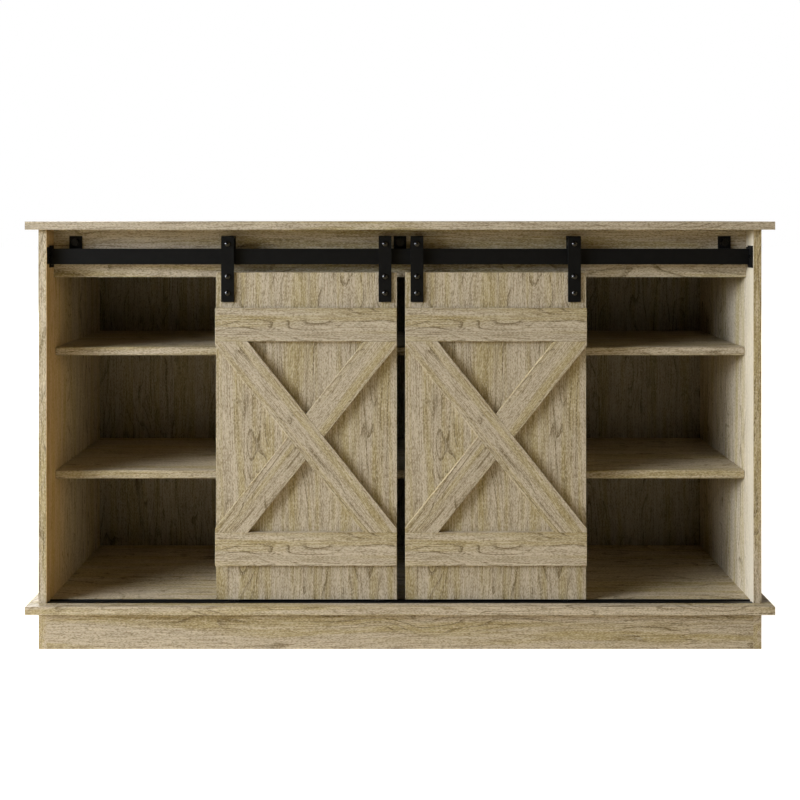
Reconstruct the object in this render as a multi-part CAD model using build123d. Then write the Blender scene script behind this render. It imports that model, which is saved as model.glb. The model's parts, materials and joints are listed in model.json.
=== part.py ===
from build123d import *
import os

# Television stand with open bays at both ends and two sliding barn doors on one flat rail.
# Millimetres. +X is to the right, -Y is the front and +Z is up.
# The origin is on the floor, in the middle of the width and of the depth.
# Depths are setbacks: distances behind the front edges of the side panels.

# Overall size
WIDTH = 1472.0
DEPTH = 394.0
HEIGHT = 847.0
OVERHANG = 20.0
BOARD = 16.0
PLINTH_HEIGHT = 75.0

SIDE_OUTER = WIDTH / 2 - OVERHANG
SIDE_INNER = SIDE_OUTER - BOARD
FRONT = OVERHANG - DEPTH / 2
BACK = DEPTH - OVERHANG
FLOOR = PLINTH_HEIGHT + BOARD
CEILING = HEIGHT - BOARD

# Inner boards
DIVIDER_INNER = 346.0
DIVIDER_OUTER = DIVIDER_INNER + BOARD
INNER_SETBACK = 52.0
SHELF_THICKNESS = 17.0
SHELF_BOTTOMS = {"lower": 324.5, "upper": 575.0}
SHELF_GAP = 0.5
SHELF_BACK = 365.0
SHELF_ROUND = 3.0
HEADER_SETBACK = 43.0
HEADER_BOTTOM = 734.5
HEADER_BACK = HEADER_SETBACK + BOARD

# Back panels, slid into grooves
BACK_PANEL_SETBACK = 366.0
BACK_PANEL_THICKNESS = 3.0
GROOVE_DEPTH = 5.0
GROOVE_PLAY = 0.1
GROOVE_END_PLAY = 0.4
CABLE_PORT_RADIUS = 25.0
CABLE_PORT_X = -220.0
CABLE_PORT_HEIGHTS = (160.0, 410.0, 660.0)

# Flat rail, the plates at its ends and the brackets on the header
RAIL = {"setback": (16.0, 22.0), "z": (761.4, 792.8)}
PLATE_THICKNESS = 3.0
END_PLATE = {"left": (15.0, 35.0), "right": (2.0, 26.0), "z": (755.0, 799.0)}
END_TONGUE = {"left": (2.0, 15.0), "right": (26.0, 35.0), "z": (763.0, 796.0)}
BRACKET_WIDTH = 25.4
BRACKET_TOP = 817.5
BRACKET_WEB_Z = (774.0, 777.0)
BRACKET_BOTTOM = 764.0
BRACKET_PLACES = {"left": -655.0, "centre": 0.0, "right": 655.0}
BRACKET_BOLT_Z = 805.0
HEX_RADIUS = 7.5
HEX_HEIGHT = 5.5

# Doors
DOOR_WIDTH = 360.0
DOOR_BOTTOM = 95.0
DOOR_TOP = 745.5
DOOR_GAP = 16.5
DOOR_GAP_CENTRE = 2.0
PANEL_SETBACK = 10.0
PANEL_THICKNESS = 14.0
PANEL_BACK = PANEL_SETBACK + PANEL_THICKNESS
TRIM_THICKNESS = 11.0
TRIM_SETBACK = PANEL_SETBACK - TRIM_THICKNESS
BOTTOM_TRIM_Z = (165.0, 231.0)
TOP_TRIM_Z = (609.5, 675.5)
BRACE_HEEL = 65.0
BRACE_TOE = 8.0

# Door straps, rollers and bolts
STRAP_WIDTH = 25.4
STRAP_THICKNESS = 4.0
STRAP_Z = (687.0, 818.0)
STRAP_INSET = 23.5
STRAP_SETBACK = PANEL_SETBACK - STRAP_THICKNESS
STRAP_BOLT_HEIGHTS = (704.5, 737.3)
HOOK_SETBACK = (28.5, 32.5)
HOOK_BOTTOM = 789.0
HOOK_BEND = 2.5
HEAD_RADIUS = 6.5
HEAD_HEIGHT = 4.5
SHANK_RADIUS = 3.0
HOLE_PLAY = 0.2
NUT_RADIUS = 7.0
NUT_HEIGHT = 3.0
AXLE_Z = 802.3
AXLE_RADIUS = 4.0
AXLE_PLAY = 0.05
AXLE_COLLAR_RADIUS = 6.5
AXLE_END_PLAY = 0.2
ROLLER_SETBACK = 12.0
ROLLER_WIDTH = 14.0
ROLLER_RIM = 11.3
TREAD_PLAY = 0.1
ROLLER_TREAD = AXLE_Z - RAIL["z"][1] - TREAD_PLAY
ROLLER_GROOVE = 6.8
ROLLER_FLANGE_SLOPE = 0.6
ROLLER_EDGE = 1.0

# Floor track and the glides that run in it
TRACK_SETBACK = (0.0, 23.0)
TRACK_DEPTH = 10.0
SLOT_SETBACK = (10.5, 19.5)
SLOT_DEPTH = 8.0
GLIDE_SETBACK = 15.0
GLIDE_PIN_RADIUS = 4.0
GLIDE_PIN_BOTTOM = 84.0
GLIDE_FLANGE = (24.0, 12.0, 2.0)
GLIDE_INSET = 40.0

# Hidden fasteners
SHELF_PIN_RADIUS = 2.5
SHELF_PIN_LENGTH = 16.0
SHELF_PIN_IN_WALL = 7.0
SHELF_PIN_SETBACKS = (90.0, 330.0)
DOWEL_RADIUS = 4.0
DOWEL_LENGTH = 30.0
DOWEL_IN_FACE = 10.0
TOP_DOWEL_SETBACKS = (75.0, 345.0)
HEADER_DOWEL_HEIGHTS = (758.0, 808.0)
PLINTH_DOWEL_HEIGHTS = (20.0, 52.0)
PLINTH_DOWEL_SETBACKS = (50.0, 290.0)
REAR_PLINTH_DOWEL_X = (-450.0, 450.0)
CAM_RADIUS = 7.5
CAM_DEPTH = 12.5
CAM_Z = 797.0
CAM_SETBACKS = (110.0, 310.0)
CAM_BOLT_RADIUS = 3.5
CAM_THREAD_RADIUS = 2.5
CAM_THREAD_LENGTH = 11.0
SCREW_RADIUS = 2.5
SCREW_LENGTH = 50.0
SCREW_HEAD_RADIUS = 4.75
SCREW_HEAD_HEIGHT = 3.0
SCREW_SETBACKS = (85.0, 200.0, 330.0)
BRACKET_BOLT_IN_HEADER = 13.0
WASHER_THICKNESS = 1.0
END_SCREW_SETBACKS = (9.0, 28.5)
END_SCREW_HEAD = (4.0, 2.0)
END_SCREW_SHANK = (2.0, 15.0)

SIDES = {"left": -1, "right": 1}
TURN = {"X": Rot(0, 90, 0), "Y": Rot(-90, 0, 0), "Z": Rot(0, 0, 0)}


def block(x, setback, z):
    """Rectangular solid between two limits on each axis."""
    limits = (x, setback, z)
    size = [abs(end - start) for start, end in limits]
    middle = [(start + end) / 2 for start, end in limits]
    return Pos(middle[0], FRONT + middle[1], middle[2]) * Box(*size)


def rod(along, x, setback, z, radius, length):
    """Round bar that starts at a point and runs towards +X, the back or +Z."""
    bar = Cylinder(radius, length, align=(Align.CENTER, Align.CENTER, Align.MIN))
    return Pos(x, FRONT + setback, z) * TURN[along] * bar


def hexagon(x, setback, z, height):
    """Hexagonal bolt head or nut whose front face is at the setback."""
    prism = extrude(RegularPolygon(HEX_RADIUS, 6), height)
    return Pos(x, FRONT + setback, z) * TURN["Y"] * prism


def dome(x, setback, z):
    """Domed bolt head, flat against the setback, with its crown to the front."""
    curve = (HEAD_RADIUS**2 + HEAD_HEIGHT**2) / (2 * HEAD_HEIGHT)
    ball = Pos(x, FRONT + setback - HEAD_HEIGHT + curve, z) * Sphere(curve)
    reach = 2 * HEAD_RADIUS
    return ball & block((x - reach, x + reach), (setback - HEAD_HEIGHT, setback), (z - reach, z + reach))


def touching(one, other):
    """Whether two solids' bounding boxes meet."""
    a = one.bounding_box()
    b = other.bounding_box()
    apart = [low > high for low, high in zip(a.min, b.max)] + [low > high for low, high in zip(b.min, a.max)]
    return not any(apart)


def drill(board, pieces):
    """A board with the room for its fasteners cut out of it."""
    for piece in pieces:
        if touching(board, piece):
            board = board - piece
    return board


def save(name, *solids):
    """Write one node, which holds one solid or a group of identical ones."""
    shape = solids[0] if len(solids) == 1 else Compound(list(solids))
    export_step(shape, f"parts/{name}.step")


def upright_centres():
    """Middle of the thickness of the four upright boards, and the way that each one faces."""
    outer = SIDE_INNER + BOARD / 2
    inner = DIVIDER_INNER + BOARD / 2
    return [(side * x, side) for side in SIDES.values() for x in (outer, inner)]


# ---- Fasteners inside the carcass ----


def cam_fittings():
    """Cam discs in the uprights, each with the bolt that hangs from the top board."""
    discs = []
    bolts = []
    shank_bottom = CAM_Z - CAM_BOLT_RADIUS
    for x, side in upright_centres():
        for setback in CAM_SETBACKS:
            face = x - side * BOARD / 2
            start = min(face, face + side * CAM_DEPTH)
            shank = rod("Z", x, setback, shank_bottom, CAM_BOLT_RADIUS, CEILING - shank_bottom)
            thread = rod("Z", x, setback, CEILING, CAM_THREAD_RADIUS, CAM_THREAD_LENGTH)
            bolt = shank + thread
            discs.append(rod("X", start, setback, CAM_Z, CAM_RADIUS, CAM_DEPTH) - bolt)
            bolts.append(bolt)
    return discs + bolts


def top_dowels():
    """Dowels between the uprights and the top board."""
    bottom = CEILING + DOWEL_IN_FACE - DOWEL_LENGTH
    places = [(x, setback) for x, _ in upright_centres() for setback in TOP_DOWEL_SETBACKS]
    return [rod("Z", x, setback, bottom, DOWEL_RADIUS, DOWEL_LENGTH) for x, setback in places]


def end_dowels(setback, heights):
    """Dowels in both ends of a board that stands between the two outer boards."""
    pins = []
    for side in SIDES.values():
        inside = side * (SIDE_INNER + DOWEL_IN_FACE - DOWEL_LENGTH)
        start = min(inside, inside + side * DOWEL_LENGTH)
        pins += [rod("X", start, setback, z, DOWEL_RADIUS, DOWEL_LENGTH) for z in heights]
    return pins


def plinth_dowels():
    """Dowels between the plinth and the bottom board."""
    bottom = PLINTH_HEIGHT + DOWEL_IN_FACE - DOWEL_LENGTH
    centres = [side * (SIDE_INNER + BOARD / 2) for side in SIDES.values()]
    places = [(x, setback) for x in centres for setback in PLINTH_DOWEL_SETBACKS]
    places += [(x, BACK - BOARD / 2) for x in REAR_PLINTH_DOWEL_X]
    return [rod("Z", x, setback, bottom, DOWEL_RADIUS, DOWEL_LENGTH) for x, setback in places]


def base_screws():
    """Countersunk screws up through the bottom board into the uprights."""
    screws = []
    for x, _ in upright_centres():
        for setback in SCREW_SETBACKS:
            shank = rod("Z", x, setback, PLINTH_HEIGHT, SCREW_RADIUS, SCREW_LENGTH)
            head = Cone(SCREW_HEAD_RADIUS, SCREW_RADIUS, SCREW_HEAD_HEIGHT)
            middle = PLINTH_HEIGHT + SCREW_HEAD_HEIGHT / 2
            screws.append(shank + Pos(x, FRONT + setback, middle) * head)
    return screws


def bay_walls():
    """Left and right wall of each of the three bays."""
    return {
        "left": (-SIDE_INNER, -DIVIDER_OUTER),
        "centre": (-DIVIDER_INNER, DIVIDER_INNER),
        "right": (DIVIDER_OUTER, SIDE_INNER),
    }


def shelf_pins():
    """Four pins under each shelf, each with its end in the wall."""
    pins = []
    for walls in bay_walls().values():
        for bottom in SHELF_BOTTOMS.values():
            for wall, inward in zip(walls, (1, -1)):
                in_wall = wall - inward * SHELF_PIN_IN_WALL
                start = min(in_wall, in_wall + inward * SHELF_PIN_LENGTH)
                for setback in SHELF_PIN_SETBACKS:
                    pin_z = bottom - SHELF_PIN_RADIUS
                    pins.append(rod("X", start, setback, pin_z, SHELF_PIN_RADIUS, SHELF_PIN_LENGTH))
    return pins


# ---- Boards ----


def back_grooves():
    """Grooves in the boards around each back panel, as the solids to cut away."""
    setback = (BACK_PANEL_SETBACK - GROOVE_PLAY, BACK_PANEL_SETBACK + BACK_PANEL_THICKNESS + GROOVE_PLAY)
    z = (FLOOR - GROOVE_DEPTH, CEILING + GROOVE_DEPTH)
    widths = [(left - GROOVE_DEPTH, right + GROOVE_DEPTH) for left, right in bay_walls().values()]
    return [block(width, setback, z) for width in widths]


def back_panels():
    """One thin panel behind each bay; the middle one has a cable port for each of its levels."""
    setback = (BACK_PANEL_SETBACK, BACK_PANEL_SETBACK + BACK_PANEL_THICKNESS)
    reach = GROOVE_DEPTH - GROOVE_END_PLAY
    panels = {}
    for name, (left, right) in bay_walls().items():
        panels[name] = block((left - reach, right + reach), setback, (FLOOR - reach, CEILING + reach))
    for z in CABLE_PORT_HEIGHTS:
        start = BACK_PANEL_SETBACK - BACK_PANEL_THICKNESS
        port = rod("Y", CABLE_PORT_X, start, z, CABLE_PORT_RADIUS, 3 * BACK_PANEL_THICKNESS)
        panels["centre"] = panels["centre"] - port
    return panels


def save_carcass():
    """Top, bottom, side panels, dividers, header, shelves and back panels."""
    dowels = top_dowels() + plinth_dowels() + end_dowels(HEADER_SETBACK + BOARD / 2, HEADER_DOWEL_HEIGHTS)
    for setback in (BOARD / 2, BACK - BOARD / 2):
        dowels += end_dowels(setback, PLINTH_DOWEL_HEIGHTS)
    cams = cam_fittings()
    screws = base_screws()
    pins = shelf_pins()
    grooves = back_grooves()
    bolts = bracket_bolts()
    end_screws = rail_end_screws()
    cutters = dowels + cams + screws + pins + grooves + bolts + end_screws
    full_width = (-WIDTH / 2, WIDTH / 2)
    full_depth = (-OVERHANG, BACK)

    save("top_panel", drill(block(full_width, full_depth, (CEILING, HEIGHT)), cutters))
    track_room = block((-SIDE_INNER, SIDE_INNER), TRACK_SETBACK, (FLOOR - TRACK_DEPTH, FLOOR))
    base = block(full_width, full_depth, (PLINTH_HEIGHT, FLOOR))
    save("bottom_panel", drill(base, cutters + [track_room]))
    header = block((-SIDE_INNER, SIDE_INNER), (HEADER_SETBACK, HEADER_BACK), (HEADER_BOTTOM, CEILING))
    save("header_board", drill(header, cutters))

    for name, side in SIDES.items():
        outer = block((side * SIDE_INNER, side * SIDE_OUTER), (0, BACK), (FLOOR, CEILING))
        save(f"{name}_side_panel", drill(outer, cutters))
        inner = block((side * DIVIDER_INNER, side * DIVIDER_OUTER), (INNER_SETBACK, BACK), (FLOOR, CEILING))
        save(f"{name}_divider", drill(inner - header, cutters))
        plinth = block((side * SIDE_INNER, side * SIDE_OUTER), (0, BACK), (0, PLINTH_HEIGHT))
        save(f"{name}_plinth_board", drill(plinth, cutters))

    between = (-SIDE_INNER, SIDE_INNER)
    save("front_plinth_board", drill(block(between, (0, BOARD), (0, PLINTH_HEIGHT)), cutters))
    save("rear_plinth_board", drill(block(between, (BACK - BOARD, BACK), (0, PLINTH_HEIGHT)), cutters))
    save("plinth_brace", block((-BOARD / 2, BOARD / 2), (BOARD, BACK - BOARD), (0, PLINTH_HEIGHT)))

    for bay, (left, right) in bay_walls().items():
        for level, bottom in SHELF_BOTTOMS.items():
            width = (left + SHELF_GAP, right - SHELF_GAP)
            shelf = block(width, (INNER_SETBACK, SHELF_BACK), (bottom, bottom + SHELF_THICKNESS))
            front_edges = shelf.edges().filter_by(Axis.X).group_by(Axis.Y)[0]
            save(f"{bay}_{level}_shelf", fillet(front_edges, SHELF_ROUND))
    for bay, panel in back_panels().items():
        save(f"{bay}_back_panel", panel)

    save("wood_dowels", *dowels)
    save("cam_fittings", *cams)
    save("base_screws", *screws)
    save("shelf_pins", *pins)
    save("rail_bracket_bolts", *bolts)
    save("rail_end_screws", *end_screws)


# ---- Rail and floor track ----


def bracket_bolts():
    """Hexagon screws that hold the rail brackets on the header."""
    seat = HEADER_SETBACK - PLATE_THICKNESS
    bolts = []
    for x in BRACKET_PLACES.values():
        head = hexagon(x, seat - HEX_HEIGHT, BRACKET_BOLT_Z, HEX_HEIGHT)
        washer_setback = seat - WASHER_THICKNESS
        washer = rod("Y", x, washer_setback, BRACKET_BOLT_Z, HEX_RADIUS + WASHER_THICKNESS, WASHER_THICKNESS)
        shank = rod("Y", x, seat, BRACKET_BOLT_Z, SHANK_RADIUS, PLATE_THICKNESS + BRACKET_BOLT_IN_HEADER)
        bolts.append(head + washer + shank)
    return bolts


def rail_end_screws():
    """Two round-headed screws through each end plate, in front of the rail and behind it."""
    height = sum(END_PLATE["z"]) / 2
    head_radius, head_height = END_SCREW_HEAD
    shank_radius, shank_length = END_SCREW_SHANK
    screws = []
    for side in SIDES.values():
        plate_face = side * (SIDE_INNER - PLATE_THICKNESS)
        head_start = min(plate_face, plate_face - side * head_height)
        shank_start = min(plate_face, plate_face + side * shank_length)
        for setback in END_SCREW_SETBACKS:
            head = rod("X", head_start, setback, height, head_radius, head_height)
            shank = rod("X", shank_start, setback, height, shank_radius, shank_length)
            screws.append(head + shank)
    return screws


def save_rail():
    """The flat rail, its end plates, its brackets and the floor track."""
    rail_end = SIDE_INNER - PLATE_THICKNESS
    save("door_rail", block((-rail_end, rail_end), RAIL["setback"], RAIL["z"]))
    screws = rail_end_screws()
    for name, side in SIDES.items():
        thickness = (side * rail_end, side * SIDE_INNER)
        tall_part = block(thickness, END_PLATE[name], END_PLATE["z"])
        tongue = block(thickness, END_TONGUE[name], END_TONGUE["z"])
        save(f"{name}_rail_end_plate", drill(tall_part + tongue, screws))

    bolts = bracket_bolts()
    rail_back = RAIL["setback"][1]
    for name, x in BRACKET_PLACES.items():
        width = (x - BRACKET_WIDTH / 2, x + BRACKET_WIDTH / 2)
        high_z = (BRACKET_WEB_Z[0], BRACKET_TOP)
        low_z = (BRACKET_BOTTOM, BRACKET_WEB_Z[1])
        on_header = block(width, (HEADER_SETBACK - PLATE_THICKNESS, HEADER_SETBACK), high_z)
        on_rail = block(width, (rail_back, rail_back + PLATE_THICKNESS), low_z)
        web = block(width, (rail_back, HEADER_SETBACK), BRACKET_WEB_Z)
        save(f"{name}_rail_bracket", drill(on_header + web + on_rail, bolts))

    track = block((-SIDE_INNER, SIDE_INNER), TRACK_SETBACK, (FLOOR - TRACK_DEPTH, FLOOR))
    slot = block((-SIDE_INNER, SIDE_INNER), SLOT_SETBACK, (FLOOR - SLOT_DEPTH, FLOOR))
    save("door_floor_track", track - slot)


# ---- Doors ----


def plate_outline(points, left):
    """Upright plate of the trim's thickness, drawn by points from the door's left and the lower trim."""
    corners = [(left + x, BOTTOM_TRIM_Z[1] + z) for x, z in points]
    face = Plane.XZ.offset(-FRONT - TRIM_SETBACK) * make_face(Polyline(*corners, close=True))
    return extrude(face, -TRIM_THICKNESS)


def save_braces(door, left):
    """Crossed braces between the trims: one whole and the other in two halves that butt on it."""
    span = TOP_TRIM_Z[0] - BOTTOM_TRIM_Z[1]
    falling = [
        (0, span - BRACE_TOE),
        (0, span),
        (BRACE_HEEL, span),
        (DOOR_WIDTH, BRACE_TOE),
        (DOOR_WIDTH, 0),
        (DOOR_WIDTH - BRACE_HEEL, 0),
    ]
    rising = [(DOOR_WIDTH - x, z) for x, z in falling]
    whole = plate_outline(falling, left)
    halves = (plate_outline(rising, left) - whole).solids().sort_by(Axis.Z)
    save(f"{door}_long_brace", whole)
    save(f"{door}_lower_short_brace", halves[0])
    save(f"{door}_upper_short_brace", halves[-1])


def strap_bolts(x):
    """Domed bolts of one strap, each with the nut on the back of the door."""
    pieces = []
    for z in STRAP_BOLT_HEIGHTS:
        length = PANEL_BACK + NUT_HEIGHT - STRAP_SETBACK
        shank = rod("Y", x, STRAP_SETBACK, z, SHANK_RADIUS, length)
        nut = rod("Y", x, PANEL_BACK, z, NUT_RADIUS, NUT_HEIGHT) - shank
        pieces += [dome(x, STRAP_SETBACK, z) + shank, nut]
    return pieces


def roller_axle(x):
    """Domed axle bolt across the hook, with a collar in front of its roller and a spacer behind it."""
    collar_length = ROLLER_SETBACK - AXLE_END_PLAY - PANEL_SETBACK
    spacer_front = ROLLER_SETBACK + ROLLER_WIDTH + AXLE_END_PLAY
    spacer_length = HOOK_SETBACK[0] - spacer_front
    shank = rod("Y", x, STRAP_SETBACK, AXLE_Z, AXLE_RADIUS, HOOK_SETBACK[1] - STRAP_SETBACK)
    collar = rod("Y", x, PANEL_SETBACK, AXLE_Z, AXLE_COLLAR_RADIUS, collar_length)
    spacer = rod("Y", x, spacer_front, AXLE_Z, AXLE_COLLAR_RADIUS, spacer_length) - shank
    return [dome(x, STRAP_SETBACK, AXLE_Z) + shank + collar, spacer]


def roller(x):
    """Grooved wheel that sits over the rail's top edge."""
    flange = (ROLLER_WIDTH - ROLLER_GROOVE) / 2
    half = [
        (AXLE_RADIUS + AXLE_PLAY, 0),
        (ROLLER_RIM - ROLLER_EDGE, 0),
        (ROLLER_RIM, ROLLER_EDGE),
        (ROLLER_RIM, flange - ROLLER_FLANGE_SLOPE),
        (ROLLER_TREAD, flange),
    ]
    other_half = [(radius, ROLLER_WIDTH - width) for radius, width in reversed(half)]
    profile = make_face(Polyline(*half, *other_half, close=True))
    return Pos(x, FRONT + ROLLER_SETBACK, AXLE_Z) * revolve(profile, Axis.Y, 360)


def strap(x):
    """Flat strap up the front of the door, bent back over the roller into a hook, with its bolt holes."""
    width = (x - STRAP_WIDTH / 2, x + STRAP_WIDTH / 2)
    top = STRAP_Z[1]
    front_leg = block(width, (STRAP_SETBACK, PANEL_SETBACK), STRAP_Z)
    bridge = block(width, (STRAP_SETBACK, HOOK_SETBACK[1]), (top - STRAP_THICKNESS, top))
    rear_leg = block(width, HOOK_SETBACK, (HOOK_BOTTOM, top))
    bent = front_leg + bridge + rear_leg
    bent = fillet(bent.edges().filter_by(Axis.X).group_by(Axis.Z)[-1], HOOK_BEND)
    for z in STRAP_BOLT_HEIGHTS:
        bent = bent - rod("Y", x, STRAP_SETBACK, z, SHANK_RADIUS + HOLE_PLAY, STRAP_THICKNESS)
    return bent - rod("Y", x, STRAP_SETBACK, AXLE_Z, AXLE_RADIUS + HOLE_PLAY, HOOK_SETBACK[1] - STRAP_SETBACK)


def glide(x):
    """Glide under the door: a flange on its bottom edge and a pin down in the track."""
    length, depth, thickness = GLIDE_FLANGE
    setback = (GLIDE_SETBACK - depth / 2, GLIDE_SETBACK + depth / 2)
    flange = block((x - length / 2, x + length / 2), setback, (DOOR_BOTTOM - thickness, DOOR_BOTTOM))
    pin = rod("Z", x, GLIDE_SETBACK, GLIDE_PIN_BOTTOM, GLIDE_PIN_RADIUS, DOOR_BOTTOM - GLIDE_PIN_BOTTOM)
    return flange + pin


def save_door(name, side):
    """One door with everything that slides with it."""
    door = f"{name}_door"
    near = DOOR_GAP_CENTRE + side * DOOR_GAP / 2
    left = min(near, near + side * DOOR_WIDTH)
    width = (left, left + DOOR_WIDTH)
    inner = near + side * STRAP_INSET
    outer = near + side * (DOOR_WIDTH - STRAP_INSET)

    panel = block(width, (PANEL_SETBACK, PANEL_BACK), (DOOR_BOTTOM, DOOR_TOP))
    for x in (inner, outer):
        for z in STRAP_BOLT_HEIGHTS:
            panel = panel - rod("Y", x, PANEL_SETBACK, z, SHANK_RADIUS + HOLE_PLAY, PANEL_THICKNESS)
    save(f"{door}_panel", panel)
    save(f"{door}_top_trim", block(width, (TRIM_SETBACK, PANEL_SETBACK), TOP_TRIM_Z))
    save(f"{door}_bottom_trim", block(width, (TRIM_SETBACK, PANEL_SETBACK), BOTTOM_TRIM_Z))
    save_braces(door, left)
    for place, x in (("inner", inner), ("outer", outer)):
        save(f"{door}_{place}_strap", strap(x))
        save(f"{door}_{place}_roller", roller(x))
    save(f"{door}_strap_bolts", *strap_bolts(inner), *strap_bolts(outer))
    save(f"{door}_roller_axles", *roller_axle(inner), *roller_axle(outer))
    save(f"{door}_glides", glide(left + GLIDE_INSET), glide(left + DOOR_WIDTH - GLIDE_INSET))


os.makedirs("parts", exist_ok=True)
save_carcass()
save_rail()
for door_name, door_side in SIDES.items():
    save_door(door_name, door_side)
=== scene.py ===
"""Television stand with sliding barn doors: oak-print boards, black hardware and a plain pale studio."""

import json
import math
import random

import bpy
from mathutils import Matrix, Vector


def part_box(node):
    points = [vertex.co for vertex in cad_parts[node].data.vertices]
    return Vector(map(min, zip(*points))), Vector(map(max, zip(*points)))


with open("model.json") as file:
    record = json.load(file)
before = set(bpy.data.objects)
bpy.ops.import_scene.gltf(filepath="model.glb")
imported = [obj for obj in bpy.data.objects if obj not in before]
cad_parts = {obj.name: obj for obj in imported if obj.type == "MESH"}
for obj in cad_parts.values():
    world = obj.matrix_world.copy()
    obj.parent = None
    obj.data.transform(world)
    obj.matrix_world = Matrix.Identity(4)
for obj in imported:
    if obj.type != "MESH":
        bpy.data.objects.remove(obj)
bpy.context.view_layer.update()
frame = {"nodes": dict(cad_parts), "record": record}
nodes = frame["nodes"]


# ---- Colours, as 8-bit sRGB, and sizes in metres ----

GREY_OAK = (182, 169, 147)
HONEY_OAK = (165, 149, 103)
BROWN_GRAIN = (112, 94, 56)
OLIVE_LINE = (92, 74, 30)
PALE_GRAIN = (205, 194, 170)
INNER_FACE_PAINTED_LIGHT = {
    # painted light on the inner faces: warm bounce light on the shaded left one, a pale pool of light and
    # sheen near the front edge of the right one; inner face (0 low x, 1 high x), tint, strength, fade behind
    # the front edge
    "left_side_panel": (1, (214, 170, 96), 0.5, 0.20),
    "right_side_panel": (0, (210, 201, 180), 0.8, 0.09),
}
SLOW_BEND = 0.030
QUICK_BEND = 0.0022
RINGS_PER_METRE = 45.0
RING_WAVES = 9.0
FIBRE_DEPTH = 0.5
FLECK_DEPTH = 0.3
LINE_DEPTH = 0.6
PATTERN_SPREAD = 8
PRINT_BUMP = 0.0004
INNER_SKIN = (0.0006, 0.0004)
BLACK_COAT = (14, 14, 14)
BLACK_NYLON = (10, 10, 10)
ZINC = (176, 172, 163)
BEECH = (190, 158, 116)
# Painted light and shade per board: brightness factors that lighten the side panels, plinth boards, bottom
# panel and bottom trims, and darken the top panel, the top trims and, as painted shade of the deep interior,
# the back panels.
BOARD_PAINTED_LIGHT = {
    "back_panel": 0.58,
    "side_panel": 1.12,
    "left_plinth_board": 1.15,
    "right_plinth_board": 1.15,
    "bottom_panel": 1.12,
    "bottom_trim": 1.04,
    "front_plinth_board": 1.08,
    "top_panel": 0.95,
    "top_trim": 0.96,
}
FLOOR_BOUNCE = (0.92, 0.78, 0.52, 1.0)
COOL_LIGHT = (0.93, 1.0, 1.13)
WARM_LIGHT = (1.0, 0.80, 0.48)
HIGH_LIGHT = (1.0, 0.93, 0.80)
NEUTRAL_LIGHT = (1.0, 1.0, 1.0)

MIDDLE = (0.0, -0.18, 0.45)
LIGHT_DISTANCE = 8.0
SOFTBOXES = (
    # name, degrees left of the front, degrees above level, width, height, watts, colour
    ("key", 68, 14, 1.9, 1.9, 420, COOL_LIGHT),
    ("wide_key", 65, 15, 5.0, 2.2, 345, COOL_LIGHT),
    ("high_fill", 68, 46, 3.5, 3.0, 225, HIGH_LIGHT),
    ("right_fill", -62, 20, 4.5, 3.5, 80, WARM_LIGHT),
    ("back_left", 150, 14, 4.0, 2.5, 430, NEUTRAL_LIGHT),
    ("back_right", -140, 14, 4.0, 2.5, 70, NEUTRAL_LIGHT),
)
FLOOR_WIDTH = 60.0
SENSOR_WIDTH_MM = 36.0
LENS_MM = 46.85
LENS_SHIFT = -0.22625
CAMERA_DISTANCE = 2.062
CAMERA_HEIGHT = 0.852
BOARD_BEVEL = 0.0008
METAL_BEVEL = 0.0005
WELD_GAP = 0.00001
FLAT_WITHIN = math.radians(0.5)
SOFTEN_ABOVE = math.radians(35)

DOOR_WIDTH = 0.360
TRIM_TO_TRIM = 0.3785
BRACE_HEEL = 0.065
BRACE_TOE = 0.008
BRACE_ANGLE = math.atan2(TRIM_TO_TRIM - BRACE_TOE, DOOR_WIDTH - BRACE_HEEL)


def linear(colour):
    """Linear RGBA of an 8-bit sRGB colour."""
    scaled = [channel / 255 for channel in colour]
    return [c / 12.92 if c <= 0.04045 else ((c + 0.055) / 1.055) ** 2.4 for c in scaled] + [1.0]


# ---- Small helpers that build shader nodes ----


def node(tree, kind, **properties):
    """A new shader node with some of its own properties set."""
    made = tree.nodes.new(kind)
    for name, value in properties.items():
        setattr(made, name, value)
    return made


def feed(tree, socket, value):
    """Link a socket to another one, or give it a plain value."""
    if isinstance(value, bpy.types.NodeSocket):
        tree.links.new(value, socket)
    else:
        socket.default_value = value


def calculate(tree, operation, first, second=0.0, third=0.0):
    """Arithmetic on two or three numbers."""
    made = node(tree, "ShaderNodeMath", operation=operation)
    feed(tree, made.inputs[0], first)
    feed(tree, made.inputs[1], second)
    feed(tree, made.inputs[2], third)
    return made.outputs[0]


def smooth_step(tree, value, low, high):
    """0 below low, 1 above high and a smooth ramp between them."""
    made = node(tree, "ShaderNodeMapRange", interpolation_type="SMOOTHSTEP")
    feed(tree, made.inputs["Value"], value)
    made.inputs["From Min"].default_value = low
    made.inputs["From Max"].default_value = high
    return made.outputs[0]


def stretched_noise(tree, vector, along, across, detail=2.0, roughness=0.5):
    """Noise with its own number of features per metre along the grain and across it."""
    scaled = node(tree, "ShaderNodeVectorMath", operation="MULTIPLY")
    feed(tree, scaled.inputs[0], vector)
    scaled.inputs[1].default_value = (along, across, across)
    made = node(tree, "ShaderNodeTexNoise")
    feed(tree, made.inputs["Vector"], scaled.outputs[0])
    made.inputs["Scale"].default_value = 1.0
    made.inputs["Detail"].default_value = detail
    made.inputs["Roughness"].default_value = roughness
    return made.outputs["Fac"]


def blend(tree, factor, first, second, mode="MIX"):
    """Mix of two colours."""
    made = node(tree, "ShaderNodeMix", data_type="RGBA", blend_type=mode)
    feed(tree, made.inputs[0], factor)
    feed(tree, made.inputs[6], first)
    feed(tree, made.inputs[7], second)
    return made.outputs[2]


# ---- Oak print ----


def tinted(tree, colour, mask, strength, tint):
    """Colour moved towards a tint where the mask is high."""
    return blend(tree, calculate(tree, "MULTIPLY", mask, strength), colour, linear(tint))


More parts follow.
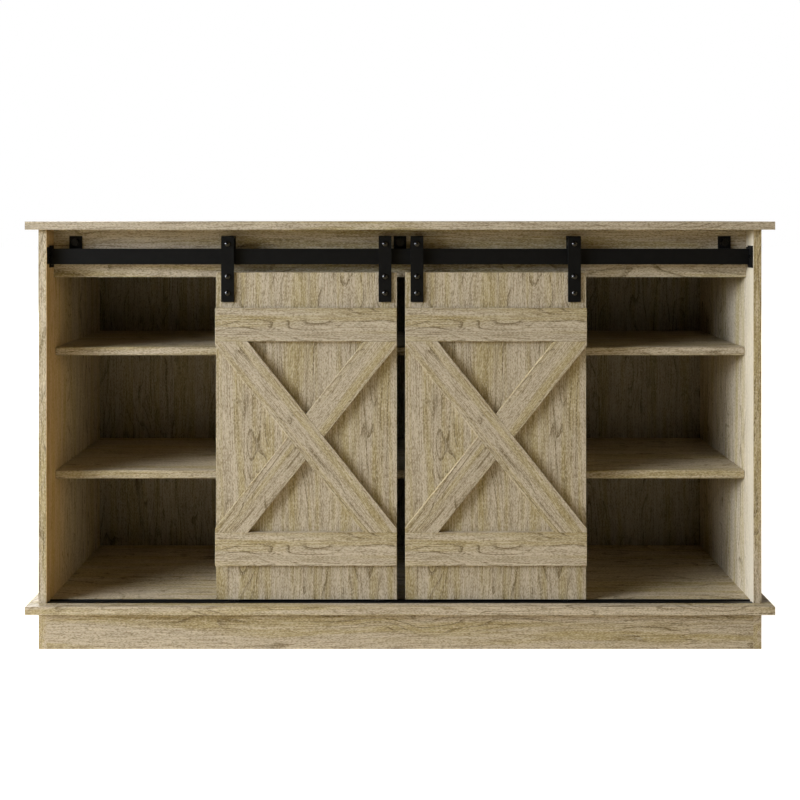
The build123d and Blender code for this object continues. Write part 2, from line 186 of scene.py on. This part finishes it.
def bent_place(tree, place):
    """The place shifted sideways, so that the grain wanders slowly and trembles a little."""
    slow_bend = calculate(tree, "MULTIPLY", stretched_noise(tree, place, 2.0, 9.0, 1.0), SLOW_BEND)
    quick_bend = calculate(tree, "MULTIPLY", stretched_noise(tree, place, 14.0, 40.0, 1.0), QUICK_BEND)
    bend = calculate(tree, "ADD", slow_bend, quick_bend)
    aside = node(tree, "ShaderNodeCombineXYZ")
    feed(tree, aside.inputs["Y"], bend)
    feed(tree, aside.inputs["Z"], bend)
    moved = node(tree, "ShaderNodeVectorMath", operation="ADD")
    feed(tree, moved.inputs[0], place)
    feed(tree, moved.inputs[1], aside.outputs[0])
    return moved.outputs[0]


def ground_colour(tree, grain):
    """Grey oak with honey patches and long soft bands, darker and paler."""
    honey = smooth_step(tree, stretched_noise(tree, grain, 1.6, 42.0, 2.0), 0.44, 0.62)
    colour = blend(tree, honey, linear(GREY_OAK), linear(HONEY_OAK))
    bands = stretched_noise(tree, grain, 3.0, 110.0, 2.0, 0.6)
    colour = tinted(tree, colour, smooth_step(tree, bands, 0.50, 0.74), 0.26, BROWN_GRAIN)
    return tinted(tree, colour, smooth_step(tree, bands, 0.50, 0.28), 0.24, PALE_GRAIN)


def ring_lines(tree, place, grain):
    """Mask of the broken olive lines where growth rings reach the surface."""
    parts = node(tree, "ShaderNodeSeparateXYZ")
    feed(tree, parts.inputs[0], grain)
    sideways = calculate(tree, "ADD", parts.outputs["Y"], parts.outputs["Z"])
    growth = calculate(tree, "MULTIPLY", stretched_noise(tree, grain, 5.0, 24.0, 0.8), RING_WAVES)
    rings = calculate(tree, "FRACT", calculate(tree, "MULTIPLY_ADD", sideways, RINGS_PER_METRE, third=growth))
    late_side = smooth_step(tree, rings, 0.66, 0.94)
    ring_edge = calculate(tree, "MULTIPLY", late_side, smooth_step(tree, rings, 1.0, 0.97))
    figured = smooth_step(tree, stretched_noise(tree, place, 2.2, 17.0, 1.0), 0.42, 0.54)
    broken = smooth_step(tree, stretched_noise(tree, grain, 9.0, 60.0, 2.0), 0.34, 0.54)
    return calculate(tree, "MULTIPLY", calculate(tree, "MULTIPLY", ring_edge, figured), broken)


def oak_figure():
    """Group that turns a place, with the grain along X, into the colour and height of sawn oak."""
    tree = bpy.data.node_groups.new("oak_figure", "ShaderNodeTree")
    tree.interface.new_socket("Vector", in_out="INPUT", socket_type="NodeSocketVector")
    tree.interface.new_socket("Color", in_out="OUTPUT", socket_type="NodeSocketColor")
    tree.interface.new_socket("Height", in_out="OUTPUT", socket_type="NodeSocketFloat")
    place = node(tree, "NodeGroupInput").outputs["Vector"]
    out = node(tree, "NodeGroupOutput")
    grain = bent_place(tree, place)
    colour = ground_colour(tree, grain)

    lines = ring_lines(tree, place, grain)
    colour = tinted(tree, colour, lines, 0.85, OLIVE_LINE)

    fibres = stretched_noise(tree, grain, 15.0, 460.0, 2.0, 0.6)
    dark_fibres = smooth_step(tree, fibres, 0.50, 0.70)
    colour = tinted(tree, colour, dark_fibres, 0.60, BROWN_GRAIN)
    colour = tinted(tree, colour, smooth_step(tree, fibres, 0.50, 0.32), 0.62, PALE_GRAIN)

    flecks = stretched_noise(tree, grain, 210.0, 660.0, 1.0)
    dark_flecks = smooth_step(tree, flecks, 0.52, 0.68)
    colour = tinted(tree, colour, dark_flecks, 0.60, BROWN_GRAIN)
    colour = tinted(tree, colour, smooth_step(tree, flecks, 0.48, 0.32), 0.55, PALE_GRAIN)
    feed(tree, out.inputs["Color"], colour)

    height = calculate(tree, "SUBTRACT", 1.0, calculate(tree, "MULTIPLY", dark_fibres, FIBRE_DEPTH))
    height = calculate(tree, "SUBTRACT", height, calculate(tree, "MULTIPLY", dark_flecks, FLECK_DEPTH))
    height = calculate(tree, "SUBTRACT", height, calculate(tree, "MULTIPLY", lines, LINE_DEPTH))
    feed(tree, out.inputs["Height"], height)
    return tree


FIGURE = oak_figure()
GRAIN_TURNS = {
    "across": (0.0, 0.0, 0.0),
    "upright": (0.0, math.radians(90), 0.0),
    "deep": (0.0, 0.0, math.radians(-90)),
    "falling": (0.0, -BRACE_ANGLE, 0.0),
    "rising": (0.0, BRACE_ANGLE, 0.0),
}


def painted_inner_light(tree, colour, place, name):
    """Side panels' inner faces with painted light: warm honey bounce light painted over the shaded left one,
    a pale painted pool of light and sheen near the front edge of the right one.
    """
    low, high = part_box(name)
    face, tint, strength, depth = INNER_FACE_PAINTED_LIGHT[name]
    parts = node(tree, "ShaderNodeSeparateXYZ")
    feed(tree, parts.inputs[0], place)
    inner_x = (low, high)[face][0]
    away = calculate(tree, "ABSOLUTE", calculate(tree, "SUBTRACT", parts.outputs["X"], inner_x))
    near_front = smooth_step(tree, parts.outputs["Y"], low[1] + depth, low[1])
    mask = calculate(tree, "MULTIPLY", smooth_step(tree, away, *INNER_SKIN), near_front)
    return tinted(tree, colour, mask, strength, tint)


def oak(name, grain, corner, seed, painted_light):
    """Oak print for one board: grain direction, corner it is laid from, cut of the pattern and a painted
    light-and-shade brightness factor.
    """
    material = bpy.data.materials.new(f"oak_{name}")
    material.use_nodes = True
    tree = material.node_tree
    shader = tree.nodes["Principled BSDF"]
    place = node(tree, "ShaderNodeTexCoord").outputs["Object"]
    from_corner = node(tree, "ShaderNodeVectorMath", operation="SUBTRACT")
    feed(tree, from_corner.inputs[0], place)
    from_corner.inputs[1].default_value = corner
    turned = node(tree, "ShaderNodeMapping")
    feed(tree, turned.inputs["Vector"], from_corner.outputs[0])
    turned.inputs["Rotation"].default_value = GRAIN_TURNS[grain]
    draw = random.Random(seed)
    cut = [draw.uniform(-PATTERN_SPREAD, PATTERN_SPREAD) for _ in range(3)]
    turned.inputs["Location"].default_value = cut
    figure = node(tree, "ShaderNodeGroup", node_tree=FIGURE)
    feed(tree, figure.inputs["Vector"], turned.outputs[0])
    # painted light and shade: the whole board made lighter or darker by its factor
    colour = blend(tree, 1.0, figure.outputs["Color"], (painted_light, painted_light, painted_light, 1.0), "MULTIPLY")
    # painted light on the side panels' inner faces
    if name in INNER_FACE_PAINTED_LIGHT:
        colour = painted_inner_light(tree, colour, place, name)
    feed(tree, shader.inputs["Base Color"], colour)
    roughness = node(tree, "ShaderNodeMapRange")
    feed(tree, roughness.inputs["Value"], figure.outputs["Height"])
    roughness.inputs["To Min"].default_value = 0.70
    roughness.inputs["To Max"].default_value = 0.58
    feed(tree, shader.inputs["Roughness"], roughness.outputs[0])
    shader.inputs["Specular IOR Level"].default_value = 0.7
    bump = node(tree, "ShaderNodeBump")
    bump.inputs["Strength"].default_value = 0.35
    bump.inputs["Distance"].default_value = PRINT_BUMP
    feed(tree, bump.inputs["Height"], figure.outputs["Height"])
    feed(tree, shader.inputs["Normal"], bump.outputs[0])
    return material


# ---- Plain materials with fine surface texture ----


def speckled(name, colour, rough_low, rough_high, grain, depth, gloss=0.5, metallic=0.0):
    """One colour with a fine even texture: powder coat, moulded nylon or plate."""
    material = bpy.data.materials.new(name)
    material.use_nodes = True
    tree = material.node_tree
    shader = tree.nodes["Principled BSDF"]
    place = node(tree, "ShaderNodeTexCoord").outputs["Object"]
    fine = stretched_noise(tree, place, grain, grain, 3.0, 0.6)
    slow = stretched_noise(tree, place, grain / 40, grain / 40, 2.0)
    base = linear(colour)
    paler = [channel * 1.3 for channel in base[:3]] + [1.0]
    tint = blend(tree, smooth_step(tree, slow, 0.3, 0.7), base, paler)
    feed(tree, shader.inputs["Base Color"], tint)
    roughness = node(tree, "ShaderNodeMapRange")
    feed(tree, roughness.inputs["Value"], fine)
    roughness.inputs["To Min"].default_value = rough_low
    roughness.inputs["To Max"].default_value = rough_high
    feed(tree, shader.inputs["Roughness"], roughness.outputs[0])
    shader.inputs["Specular IOR Level"].default_value = gloss
    shader.inputs["Metallic"].default_value = metallic
    bump = node(tree, "ShaderNodeBump")
    bump.inputs["Strength"].default_value = 0.3
    bump.inputs["Distance"].default_value = depth
    feed(tree, bump.inputs["Height"], fine)
    feed(tree, shader.inputs["Normal"], bump.outputs[0])
    return material


def black_steel():
    """Satin powder coat of straps, rail and brackets."""
    return speckled("black_powder_coat", BLACK_COAT, 0.42, 0.56, 2500.0, 0.00008, gloss=0.12)


def black_bolt():
    """Smoother, shinier black of bolt heads."""
    return speckled("black_bolt", BLACK_NYLON, 0.16, 0.24, 1500.0, 0.00002, gloss=0.6)


def black_nylon():
    """Moulded nylon of rollers, glides and track."""
    return speckled("black_nylon", BLACK_NYLON, 0.34, 0.5, 1200.0, 0.00005)


def zinc_plate():
    """Bright plate of hidden fittings."""
    return speckled("zinc_plate", ZINC, 0.25, 0.4, 900.0, 0.00003, metallic=1.0)


def beech_dowel():
    """Plain beech of hidden dowels."""
    return speckled("beech_dowel", BEECH, 0.6, 0.75, 800.0, 0.0001)


# ---- Materials on the CAD nodes ----


def grain_of(name):
    """Which way a board's grain runs."""
    if name.endswith("long_brace"):
        return "falling"
    if name.endswith("short_brace"):
        return "rising"
    if name in ("left_plinth_board", "right_plinth_board", "plinth_brace"):
        return "deep"
    if name.endswith(("side_panel", "divider", "back_panel", "door_panel")):
        return "upright"
    return "across"


def dress(name, material, bevel):
    """Give a CAD node its material and slightly softened edges."""
    piece = nodes[name]
    for slot in piece.material_slots:
        slot.material = material
    weld = piece.modifiers.new("joined_faces", "WELD")
    weld.merge_threshold = WELD_GAP
    flat = piece.modifiers.new("flat_faces", "DECIMATE")
    flat.decimate_type = "DISSOLVE"
    flat.angle_limit = FLAT_WITHIN
    soft = piece.modifiers.new("soft_edges", "BEVEL")
    soft.width = bevel
    soft.segments = 2
    soft.limit_method = "ANGLE"
    soft.angle_limit = SOFTEN_ABOVE


def dress_all():
    """Material and edges for every CAD node, by the record's slots."""
    plain = {
        "black_steel": black_steel(),
        "black_nylon": black_nylon(),
        "zinc": zinc_plate(),
        "beech": beech_dowel(),
    }
    bolts = black_bolt()
    for entry in frame["record"]["subparts"]:
        name = entry["node"]
        slot = entry["material_slot"]
        if slot in ("oak_laminate", "oak_backing"):
            seed = name.replace("left_door", "door").replace("right_door", "door")
            seed = seed.replace("top_trim", "trim").replace("bottom_trim", "trim")
            # the board's painted light-and-shade factor, 1.0 where none is listed
            painted_light = next((value for ending, value in BOARD_PAINTED_LIGHT.items() if name.endswith(ending)), 1.0)
            dress(name, oak(name, grain_of(name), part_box(name)[0], seed, painted_light), BOARD_BEVEL)
        elif name.endswith(("bolts", "screws", "axles")) and slot == "black_steel":
            dress(name, bolts, METAL_BEVEL)
        else:
            dress(name, plain[slot], METAL_BEVEL)


# ---- Studio ----


def add_floor():
    """Plain pale floor."""
    bpy.ops.mesh.primitive_plane_add(size=FLOOR_WIDTH, location=(0, 0, 0))
    floor = bpy.context.object
    floor.name = "studio_floor"
    material = bpy.data.materials.new("pale_floor")
    material.use_nodes = True
    shader = material.node_tree.nodes["Principled BSDF"]
    shader.inputs["Base Color"].default_value = FLOOR_BOUNCE
    shader.inputs["Roughness"].default_value = 0.9
    shader.inputs["Specular IOR Level"].default_value = 0.1
    shader.inputs["Emission Color"].default_value = (1.0, 1.0, 1.0, 1.0)
    eye = node(material.node_tree, "ShaderNodeLightPath").outputs["Is Camera Ray"]
    feed(material.node_tree, shader.inputs["Emission Strength"], eye)
    floor.data.materials.append(material)


def add_softbox(name, place, width, height, power, colour):
    """Rectangular soft light that faces the stand's middle."""
    light = bpy.data.lights.new(name, "AREA")
    light.shape = "RECTANGLE"
    light.size = width
    light.size_y = height
    light.energy = power
    light.color = colour
    lamp = bpy.data.objects.new(name, light)
    bpy.context.scene.collection.objects.link(lamp)
    lamp.location = place
    lamp.rotation_euler = (Vector(MIDDLE) - Vector(place)).to_track_quat("-Z", "Y").to_euler()
    lamp.visible_camera = False


def add_world():
    """Surroundings that are white to the eye and give no light of their own."""
    world = bpy.data.worlds.new("studio")
    bpy.context.scene.world = world
    world.use_nodes = True
    tree = world.node_tree
    background = tree.nodes["Background"]
    background.inputs["Color"].default_value = (1.0, 1.0, 1.0, 1.0)
    eye = node(tree, "ShaderNodeLightPath").outputs["Is Camera Ray"]
    feed(tree, background.inputs["Strength"], eye)


def add_camera():
    """Level camera on the middle line, with the lens shifted down to frame the whole stand."""
    camera = bpy.data.cameras.new("camera")
    camera.sensor_width = SENSOR_WIDTH_MM
    camera.lens = LENS_MM
    camera.shift_y = LENS_SHIFT
    camera.clip_end = 100.0
    body = bpy.data.objects.new("camera", camera)
    bpy.context.scene.collection.objects.link(body)
    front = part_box("left_side_panel")[0][1]
    body.location = (0.0, front - CAMERA_DISTANCE, CAMERA_HEIGHT)
    body.rotation_euler = (math.radians(90), 0, 0)
    bpy.context.scene.camera = body


def toward(azimuth, elevation, distance):
    """Place seen from the stand's middle at an angle left of the front and an angle above level."""
    flat = distance * math.cos(math.radians(elevation))
    return (-flat * math.sin(math.radians(azimuth)), MIDDLE[1] - flat * math.cos(math.radians(azimuth)),
            MIDDLE[2] + distance * math.sin(math.radians(elevation)))


add_camera()
add_floor()
dress_all()
add_world()
for name, azimuth, elevation, width, height, power, colour in SOFTBOXES:
    add_softbox(name, toward(azimuth, elevation, LIGHT_DISTANCE), width, height, power, colour)
bpy.context.scene.view_settings.view_transform = "Standard"
